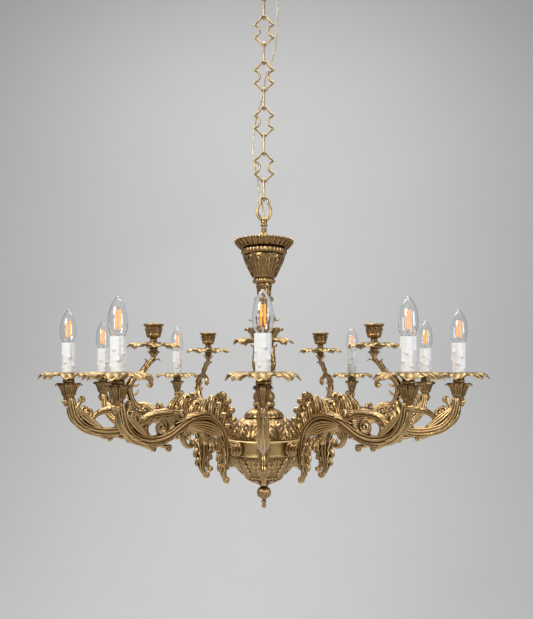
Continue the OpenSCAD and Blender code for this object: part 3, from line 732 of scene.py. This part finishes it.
def upper_column():
    bore = 4.4
    body_piece("loop_collar_turned", "loop_collar",
               [turned([[5, 337], [7.2, 338.5], [8, 340.5], [7.8, 343], [6, 345]], [[bore, 337], [bore, 345]], 48)],
               CHAIN, "bright_brass")
    knob = turned([[16, 290.3], [17, 292], [15.5, 294], [14, 297], [14.6, 300], [13.5, 305], [12.2, 312], [12.6, 317],
                   [9, 321], [6.5, 325], [5.8, 329], [6.4, 331.5], [5, 335]], [[bore, 290.3], [bore, 335]], 72, 4,
                  gadroon(14, 1.2, 296, 318))
    body_piece("top_bell", "top_knob", [knob] + beads(22, 15.6, 292, 1.5))
    def pleats(angle, r, z):
        return (0.5 + 1.9 * np.clip((z - 288) / 16, 0, 1)) * (np.abs(np.cos(15 * angle)) ** 0.7 - 0.6)
    frill = turned([[46, 286.3], [50, 287.2], [55.5, 290.4], [60.5, 294.4], [64.3, 299], [66.3, 303.4]],
                   [[bore, 286.3], [bore, 289.5], [45, 289.8], [54, 293], [61.5, 299], [64.4, 304]], 300, 4, pleats)
    tongues = spun(leaf([[52, 287.2, 2.4], [57, 290.4, 3.4], [62, 295.2, 3.8], [65.8, 300.5, 3.2], [67.2, 304.5,
                                                                                                    1.8]],
                        lobes=2, notch=0.1, cup=0.25, wrap=True, relief=-1.0, thick=-1.4, steps=5, across=7), 30)
    body_piece("leaf_crown", "crown_gallery", [frill] + tongues + beads(30, 66.8, 304.4, 1.5))
    ring = turned([[45, 272], [49.5, 273], [52, 276], [52.3, 279], [52, 282], [49.5, 285], [46, 286]],
                  [[bore, 272], [bore, 286]], 240, 4, gadroon(34, 2.0, 273, 285.5))
    body_piece("gadroon_band", "gadroon_ring", [ring])
    bowl = turned([[23, 219.5], [25, 222], [28.5, 229], [33.5, 239], [39.5, 251], [43.5, 262], [44.2, 269], [43,
                                                                                                             272]],
                  [[12, 219.5], [22, 222.5], [31, 242], [38, 256], [41.5, 272]], 96)
    big = spun(leaf([[25.5, 221, 6.5], [29.8, 229, 9], [35, 239.5, 12], [40.8, 251.5, 13.5], [44.6, 261, 11],
                     [46.2, 267, 7], [47.5, 270, 3.5]], lobes=5, notch=0.3, cup=0.02, wrap=True, relief=-1.5,
                     thick=-2, steps=7), 6)
    small = spun(leaf([[31.5, 233, 3], [37.6, 245, 6.5], [42.6, 256, 7], [45.4, 265, 4.5]], lobes=3, cup=0.02,
                      wrap=True,
                      relief=-1.3, thick=-1.8, steps=6), 6, 30)
    body_piece("leaf_urn", "urn", [bowl] + big + small)
    foot = turned([[17, 207], [22.5, 207.5], [25.6, 210], [26.2, 213], [25, 216.5], [22.5, 219]],
                  [[bore, 207], [bore, 219]], 160, 4, gadroon(22, 1.3, 208, 218))
    body_piece("urn_foot_ring", "urn_foot", [foot])
    neck = turned([[16, 165], [19, 166.5], [21.4, 169], [21.8, 172.5], [20.5, 176], [16.5, 178.5], [14.6, 183],
                   [14.4, 190], [15.2, 197], [17.2, 202], [17.5, 207]], [[bore, 165], [bore, 207]], 80)
    stubs = spun(leaf([[15, 181, 3], [15.2, 188, 4], [16.2, 196, 4.4], [18, 203, 3]], lobes=2,
                      cup=0.05, wrap=True, relief=-0.9, thick=-1.4, steps=5), 8)
    body_piece("neck_turning", "neck", [neck] + stubs + beads(26, 21.4, 172.5, 1.4))
    core = turned([[12.5, 106], [14, 110], [19, 116.5], [23, 124], [23.5, 133], [20.5, 143], [16.8, 152], [15.4, 158],
                   [16.6, 165]], [[bore, 106], [bore, 165]], 80)
    wings = spun(leaf([[15.8, 160, 4], [18.5, 151, 6.5], [22.5, 141, 8], [25.5, 131, 7.5], [30, 124.5, 5.5],
                       [33.5, 127.5, 3]], lobes=4, cup=0.08, wrap=True, relief=-1.1, thick=1.8, steps=6), 8)
    low = spun(leaf([[15.5, 110, 4], [20.5, 116, 6], [24.6, 123, 6], [27, 131, 4.5]], lobes=3, cup=-0.08, wrap=True,
                    relief=0.9, thick=1.6, steps=6), 8, 22.5)
    body_piece("leaf_baluster", "baluster", [core] + wings + low)


def lower_column():
    bore = 4.4
    cup = turned([[23.5, 78], [25, 82], [27, 89], [31, 95.5], [36.5, 101], [40.5, 103.5], [40, 105.5], [13, 106]],
                 [[bore, 78], [bore, 106]], 120, 4, gadroon(20, 1.2, 82, 102))
    flare = spun(leaf([[25.5, 80, 5], [28.5, 88, 6.5], [33.5, 95.5, 8], [39, 101, 8], [42.5, 103, 5.5], [42.5, 99,
                                                                                                         3]],
                      lobes=3, cup=-0.08, wrap=True, relief=1.0, thick=1.7, steps=5), 10)
    body_piece("flare_cup_leaves", "flare_cup", [cup] + flare)
    core = turned([[17.6, -38], [16.2, -33], [16, -20], [16.4, -8], [19, 0], [22.5, 9], [24, 22], [22.6, 42], [20.6,
                                                                                                               58],
                   [21, 68], [23.6, 74], [23.5, 78]], [[bore, -38], [bore, 78]], 96, 5)
    tall = spun(leaf([[19, -4, 5], [23.5, 8, 8], [26, 22, 9.5], [25.2, 38, 9], [23.8, 52, 8], [24.5, 62, 6],
                      [28.5, 68, 4], [29, 64, 2.5]], lobes=6, cup=-0.08, wrap=True, relief=1.5, thick=1.8, steps=6),
                      6)
    between = spun(leaf([[22, 14, 3], [25.6, 28, 4.5], [24.2, 44, 4.5], [23, 58, 3.5], [25, 66, 2]], lobes=5,
                        cup=-0.08,
                        wrap=True, relief=1.1, thick=1.6, steps=6), 6, 30)
    flutes = spun(sweep([[17.2, -34, 1.5, 1.5], [16.8, -22, 1.5, 1.5], [17.2, -10, 1.5, 1.5], [19.2, -2, 1.2, 1.4]],
                        4, 10), 16)
    body_piece("stem_acanthus", "stem_column", [core] + tall + between + flutes)
    knop = turned([[21, -74], [24, -72.5], [25, -67], [24, -62], [21.5, -60], [23.5, -57], [25, -52], [24, -45],
                   [20, -40], [17.8, -38]], [[bore, -74], [bore, -38]], 160, 4, gadroon(16, 1.6, -59, -41))
    body_piece("knop_beaded", "stem_knop", [knop] + beads(26, 23.8, -66.5, 2.4))
    cap = turned([[43.5, -98], [45, -95.5], [44, -91], [39.5, -85.5], [32, -80.5], [25, -77.5], [21.5, -74]],
                 [[bore, -98], [bore, -74]], 160, 4, gadroon(24, 1.6, -94, -77))
    body_piece("cap_gadroons", "dome_cap", [cap] + beads(44, 44, -96, 1.7))


def dome_and_bowl():
    bore = 4.4
    shell = turned([[79, -144], [79, -139], [76.5, -129], [71, -118.5], [63.5, -109], [54, -102], [43.5, -98.4]],
                   [[76, -144], [73, -137], [68, -125], [60, -114], [51, -107], [bore, -102], [bore, -98.4]], 120)
    rise = [[80.5, -142, 15], [79, -133, 18], [74, -121.5, 17.5], [66.5, -111, 15], [57, -103.2, 11],
            [50, -99.5, 6]]
    leaves = spun(leaf(rise, lobes=5, cup=0.02, wrap=True, relief=2.0, thick=2, steps=7, notch=0.35), 8, 22.5)
    buds = spun(leaf([[80.5, -142, 9], [79, -132, 12], [74, -120, 9], [67, -111, 4]], lobes=3, cup=0.02, wrap=True,
                      relief=2.0, thick=2, steps=6), 8)
    for k in range(8):
        for side in (-1, 1):
            turn = math.radians(45 * k + 11 * side)
            eye = ball(77.2, 0, -127, 3.4, 12)
            buds += [(eye[0] @ np.array([[math.cos(turn), math.sin(turn), 0], [-math.sin(turn), math.cos(turn), 0],
                                         [0, 0, 1]]), eye[1])]
    body_piece("dome_acanthus", "dome", [shell] + leaves + buds + beads(72, 80.4, -142.4, 1.7))

    band = turned([[70, -177.5], [93, -177.5], [94.6, -176.6], [95, -175], [93.9, -173.4], [93.6, -171.5], [93.6,
                                                                                                            -150],
                   [93.9, -148.2], [95, -146.6], [94.6, -144.8], [93, -144]],
                  [[70, -174.5], [91, -174.5], [91, -147], [74, -147], [74, -144]], 192, 3)
    body_piece("drum_polished", "drum_band", [band], POLISHED, "bright_brass")

    shell = turned([[13.5, -246.6], [25, -241.6], [41, -234], [45, -228], [57.5, -214.5], [67.5, -203], [74, -192],
                    [76.5, -184], [77, -177.5]],
                   [[13, -243.5], [24, -239], [39, -231.5], [52, -211], [62, -200], [69.5, -190], [72.5, -177.5]],
                   120)
    fall = [[78, -179.5, 15], [77, -188, 17.5], [72.5, -199, 17], [64.5, -210, 14.5], [55, -220.5, 10.5],
            [47, -228.5, 5.5]]
    leaves = spun(leaf(fall, lobes=5, cup=-0.02, wrap=True, relief=-2.0, thick=-2, steps=7, notch=0.35), 8)
    buds = spun(leaf([[78, -180, 9], [76, -190, 12], [69, -203, 9], [60, -214, 4]], lobes=3, cup=-0.02, wrap=True,
                     relief=-2.0, thick=-2, steps=6), 8, 22.5)
    base = spun(leaf([[42, -236, 7], [32, -241.5, 6.5], [22, -245.5, 4.5], [14, -248, 2.5]], lobes=3, cup=0.05,
                     wrap=True,
                     relief=-1.0, thick=-1.5, steps=5), 12)
    body_piece("bowl_acanthus", "bowl",
               [shell] + leaves + buds + base + beads(56, 77.2, -179.8, 1.6) + beads(40, 43, -231.5, 2.1))


def finial():
    body_piece("finial_ring", "finial_collar",
               [turned([[7.5, -254], [11, -252.8], [12, -250.5], [11, -248.5], [9, -247]], [[4.4, -254], [4.4,
                                                                                                          -247]],
                                                                                                          64)])
    profile = [[0.001, -305], [3, -304.2], [5, -300.5], [4.6, -297], [2.8, -295], [3.4, -293.8], [6, -292], [6,
                                                                                                             -289.5],
               [4, -287.5], [5, -284.5], [9, -280], [13.4, -273.5], [14.8, -267], [13, -260.5], [8.6, -256.5], [7,
                                                                                                                -254]]
    rows = list(smooth(profile, 4)) + [[4.05, -254], [4.05, -263], [0.001, -263]]
    petals = spun(leaf([[7.5, -256.5, 3], [13, -261.5, 4.6], [15.4, -268, 5], [14.4, -275, 4], [13, -280, 2]],
                       lobes=3,
                       cup=0.08, wrap=True, relief=-0.7, thick=-1.2, steps=5), 8)
    body_piece("finial_drop", "finial", [lathe(rows, 80, ripple=gadroon(12, 0.7, -284, -258))] + petals)


# ---- chain, hook, canopy and cable ----

def wire(points, radius, sides=16, closed=False):
    """Round wire along a line of 3-D points."""
    points = np.array(points, float)
    if closed:
        t = np.roll(points, -1, 0) - np.roll(points, 1, 0)
        t = t / np.linalg.norm(t, axis=1, keepdims=True)
    else:
        t = headings(points)
    flat = np.array([0.0, 1.0, 0.0]) if np.ptp(points[:, 0]) > np.ptp(points[:, 1]) else np.array([1.0, 0.0, 0.0])
    phi = np.linspace(0, 2 * math.pi, sides, endpoint=False)
    rings = []
    for p, d in zip(points, t):
        u = np.cross(d, flat)
        u = u / np.linalg.norm(u)
        v = np.cross(d, u)
        rings.append(p + radius * (np.outer(np.cos(phi), u) + np.outer(np.sin(phi), v)))
    n = len(points)
    faces = grid_faces(n, sides, wrap_rows=closed)
    if not closed:
        faces += [list(range(sides))[::-1], [(n - 1) * sides + k for k in range(sides)]]
    return np.vstack(rings), faces


def ornate_link_mesh(height, width):
    """Link with a pointed crown at each end, two spurs on each side and a hollow waist."""
    half, out = height / 2 - 2.2, width / 2 - 2.2
    quarter = [[0, half], [3, half - 0.6], [7, half - 5], [13, half - 12], [out - 1.5, 16.5], [out, 14.6],
               [out - 1.8, 12.8],
               [13.2, 9.4], [10.4, 5], [9.6, 0]]
    upper = smooth(quarter, 5)
    right = np.vstack([upper, (upper * [1, -1])[::-1][1:]])
    ring = np.vstack([right, (right * [-1, 1])[::-1][1:-1]])
    points = np.stack([ring[:, 0], 0 * ring[:, 0], ring[:, 1]], 1)
    spurs = [ball(x, 0, z, 2.3, 12) for x in (-out, out) for z in (-14.6, 14.6)]
    crowns = [sweep([[0, s * (half - 0.4), 2.2, 2.1], [0, s * (half + 1), 1.6, 1.6], [0, s * (half + 2.1), 0.6,
                                                                                      0.6]], 4, 12)
              for s in (-1, 1)]
    return mesh_of("ornate_link", [wire(points, 2.2, closed=True)] + spurs + crowns)


def chain():
    low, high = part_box("ornate_link_1")
    ornate = ornate_link_mesh((high.z - low.z) / MM, (high.x - low.x) / MM)
    low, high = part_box("oval_link_1")
    reach, bend = (high.z - low.z) / 2 / MM - 2, (high.y - low.y) / 2 / MM - 2
    a = np.linspace(0, math.pi, 14)
    half = np.stack([0 * a, bend * np.cos(a), (reach - bend) + bend * np.sin(a)], 1)
    oval = mesh_of("oval_link", [wire(np.vstack([half, half * [1, -1, -1]]), 2.25, closed=True)])
    for i in range(1, 6):
        for kind, mesh in (("ornate", ornate), ("oval", oval)):
            node = f"{kind}_link_{i}"
            low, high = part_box(node)
            link = placed(f"chain_{kind}_{i}", mesh, CHAIN, "bright_brass", node, [node])
            link.matrix_world = Matrix.Translation((0, 0, (low.z + high.z) / 2))


def hanging_loop():
    top = (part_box("hanging_loop")[1].z - PAN_Z) / MM - 2.5
    side = [[0, top, 2.4, 2.4], [4.5, top - 0.3, 2.4, 2.4], [8, top - 4.5, 2.4, 2.4], [9, top - 11, 2.5, 2.5],
            [13, top - 20, 2.7, 2.7], [15.6, top - 31, 3.1, 3], [12.5, top - 41, 3.8, 3.4], [5, 352.5, 4.6, 4]]
    mirror = [[-x, z, w, t] for x, z, w, t in side]
    horns = [sweep([[s * 9, top - 12, 2.2, 2.2], [s * 13, top - 9, 1.8, 1.8], [s * 15, top - 5, 1, 1]], 5, 12)
             for s in (-1, 1)]
    boss = turned([[5.5, 345], [7, 346], [7, 350], [8.2, 352], [7, 355], [4.5, 357]], [[2.9, 345], [2.9, 357]], 48)
    body_piece("lyre_loop", "hanging_loop", [sweep(side, 6, 16), sweep(mirror, 6, 16), boss] + horns, CHAIN,
               "bright_brass")


def ceiling():
    low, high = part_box("ceiling_hook")
    eye = (low.z - PAN_Z) / MM + 10
    turn = np.radians(np.linspace(-250, 70, 40))
    ring = np.stack([0 * turn, 8 * np.cos(turn), eye + 8 * np.sin(turn)], 1)
    top = (high.z - PAN_Z) / MM
    shank = turned([[3, eye + 7.2], [3, top]], [[0.001, eye + 7.2], [0.001, top]], 32, 2)
    body_piece("hook_forged", "ceiling_hook", [wire(ring, 2), shank, ball(0, 0, eye + 9, 3.8, 16)], CHAIN,
               "bright_brass", "ceiling")
    low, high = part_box("ceiling_canopy")
    base = (low.z - PAN_Z) / MM
    outer = [[3.5, base], [15, base + 0.3], [20, base + 3], [24, base + 7], [37, base + 10.5], [42, base + 14],
             [44, base + 17], [50, base + 25], [51, base + 31], [51.8, base + 34], [51.5, base + 36]]
    inner = [[3.5, base + 3], [20, base + 7], [37, base + 13.5], [47, base + 26], [49, base + 36]]
    body_piece("canopy_turned", "ceiling_canopy", [turned(outer, inner, 144, 4, gadroon(24, 1.2, base + 6,
                                                                                        base + 17))]
               + beads(60, 50.2, base + 26.5, 1.4), AGED, "aged_brass", "ceiling")
    low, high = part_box("canopy_nut")
    base = (low.z - PAN_Z) / MM
    body_piece("canopy_ball_nut", "canopy_nut",
               [turned([[5, base], [7.4, base + 1], [8, base + 2.6], [7, base + 4.2], [5.5, base + 5]],
                       [[3.1, base], [3.1, base + 5]], 40)], CHAIN, "bright_brass", "ceiling")


# The cable's route as in the part's source: beside the chain, through one link and down into the stem
CABLE_ROUTE = [[26, 0, 976], [26, 0, 950], [30, -2, 900], [31, -3, 850], [31, -5, 810], [27, -7, 760],
               [21, -9, 725], [14, -10, 702], [8, -8, 690], [3, 0, 677], [1, 9, 661], [-3, 13, 645], [-10, 12, 618],
               [-18, 9, 588], [-23, 8, 560], [-25, 8, 520], [-23, 9, 490], [-19, 9, 468], [-15, 10, 448],
               [-12, 11, 432], [-8, 10, 412], [-6, 8, 398], [-3, 4, 384], [0, 0, 368], [0, 0, 352], [0, 0, 338]]


def cable():
    """Sheathed supply cable in stretches that bend with the chain: one for each joint, and two at the last."""
    route = smooth(CABLE_ROUTE, 12)
    joints = sorted(frame["joints"], key=lambda j: -j["pos_m"][2])
    heights = [(j["pos_m"][2] - PAN_Z) / MM for j in joints]
    borders = [1e9] + [(a + b) / 2 for a, b in zip(heights, heights[1:])] + [-1e9]
    nearest = [int(np.argmin(np.abs(route[:, 2] - b))) if abs(b) < 1e8 else None for b in borders]
    nearest[0], nearest[-1] = 0, len(route) - 1
    phi = np.linspace(0, 2 * math.pi, 16, endpoint=False)
    t = headings(route)
    length = np.concatenate([[0], np.cumsum(np.linalg.norm(np.diff(route, axis=0), axis=1))])
    rings = []
    for p, d, along in zip(route, t, length):
        u = np.cross(d, [0, 1, 0])
        u = u / np.linalg.norm(u)
        v = np.cross(d, u)
        r = 1.75 * (1 + 0.08 * np.cos(2 * phi - along * 0.45))
        rings.append(p + (r * np.cos(phi))[:, None] * u + (r * np.sin(phi))[:, None] * v)

    def stretch(number, first, last):
        n = last - first + 1
        faces = grid_faces(n, 16) + [list(range(16))[::-1], [(n - 1) * 16 + m for m in range(16)]]
        mesh = mesh_of(f"cable_{number:02d}", [(np.vstack(rings[first:last + 1]), faces)])
        mesh.transform(Matrix.Translation((0, 0, PAN_Z)))
        mesh.materials.append(SHEATH)
        obj = bpy.data.objects.new(f"cable_{number:02d}", mesh)
        bpy.context.scene.collection.objects.link(obj)
        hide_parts("supply_cable")
        return obj
    for k, joint in enumerate(joints[:-1]):
        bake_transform(stretch(k + 1, nearest[k], nearest[k + 1]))
    # it passes the last joint close to the axis, so it is cut there and each half rides on its own body
    cut = int(np.argmin(np.abs(route[:, 2] - heights[-1])))
    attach(stretch(len(joints), nearest[-2], cut), joints[-1]["parent"])
    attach(stretch(len(joints) + 1, cut, nearest[-1]), joints[-1]["child"])


def carried_over():
    """CAD nodes whose shape stays: each gets a fuller material."""
    for nodes, material in ((("ceiling_plate", "tie_rod", "root_nuts", "bulb_caps"), STEEL),
                            (("lampholders", "junction_block"), INSULATION)):
        for node in nodes:
            for place in frame["nodes"][node].material_slots:
                place.material = material


# ---- stage ----

def stage():
    """Pale floor that curves up into a backdrop."""
    floor_z, back, bend = -2.45, 3.6, 1.6
    profile = [(-4.0, floor_z), (back - bend, floor_z)]
    profile += [(back - bend + bend * math.sin(a), floor_z + bend * (1 - math.cos(a)))
                for a in np.linspace(0, math.pi / 2, 24)[1:]]
    profile.append((back, 3.5))
    verts = [(x, y, z) for y, z in profile for x in (-6, 6)]
    faces = [[2 * k, 2 * k + 1, 2 * k + 3, 2 * k + 2] for k in range(len(profile) - 1)]
    mesh = bpy.data.meshes.new("floor")
    mesh.from_pydata(verts, [], faces)
    mesh.shade_smooth()
    mesh.materials.append(plain("pale_floor", (0.68, 0.68, 0.67), 0.7, spread=0.03, scale=3))
    floor = bpy.data.objects.new("floor", mesh)
    bpy.context.scene.collection.objects.link(floor)


def area_light(name, place, aim, size, watts, colour=(1, 1, 1)):
    light = bpy.data.lights.new(name, "AREA")
    light.shape = "RECTANGLE"
    light.size, light.size_y = size
    light.energy = watts
    light.color = colour
    obj = bpy.data.objects.new(name, light)
    obj.location = place
    obj.rotation_euler = (Vector(aim) - Vector(place)).to_track_quat("-Z", "Y").to_euler()
    bpy.context.scene.collection.objects.link(obj)


def lights():
    world = bpy.data.worlds.new("studio")
    world.use_nodes = True
    world.node_tree.nodes["Background"].inputs["Color"].default_value = (0.86, 0.88, 0.92, 1)
    world.node_tree.nodes["Background"].inputs["Strength"].default_value = 0.30
    bpy.context.scene.world = world
    middle = (0, 0, PAN_Z)
    bpy.context.scene.view_settings.view_transform = "Standard"
    area_light("key", (-1.5, -2.0, 0.3), middle, (1.0, 1.0), 50, (1.0, 0.97, 0.93))
    area_light("fill", (2.0, -1.7, -0.5), middle, (0.8, 1.2), 24, (0.93, 0.96, 1.0))
    area_light("top", (0.2, 0.3, 0.9), middle, (1.6, 1.6), 24)
    area_light("back", (-1.2, 1.6, 1.3), middle, (1.2, 1.0), 24)
    area_light("backdrop", (0, 1.2, 1.8), (0, 3.4, -1.4), (3.0, 1.0), 42)


def camera():
    """Level, at the height of the drip pans, with the lens shifted up."""
    data = bpy.data.cameras.new("camera")
    data.sensor_fit = "VERTICAL"
    data.sensor_height = 36
    data.lens = 35.13
    data.shift_y = 0.105
    obj = bpy.data.objects.new("camera", data)
    obj.location = (0.0057, -1.38, PAN_Z)
    obj.rotation_euler = (math.pi / 2, 0, 0)
    bpy.context.scene.collection.objects.link(obj)
    bpy.context.scene.camera = obj


camera()
cable()
ceiling()
chain()
hanging_loop()
upper_column()
lower_column()
dome_and_bowl()
finial()
root_spools()
large_arms()
upper_arms()
pans()
nozzles()
sleeves()
bulbs()
carried_over()
stage()
lights()
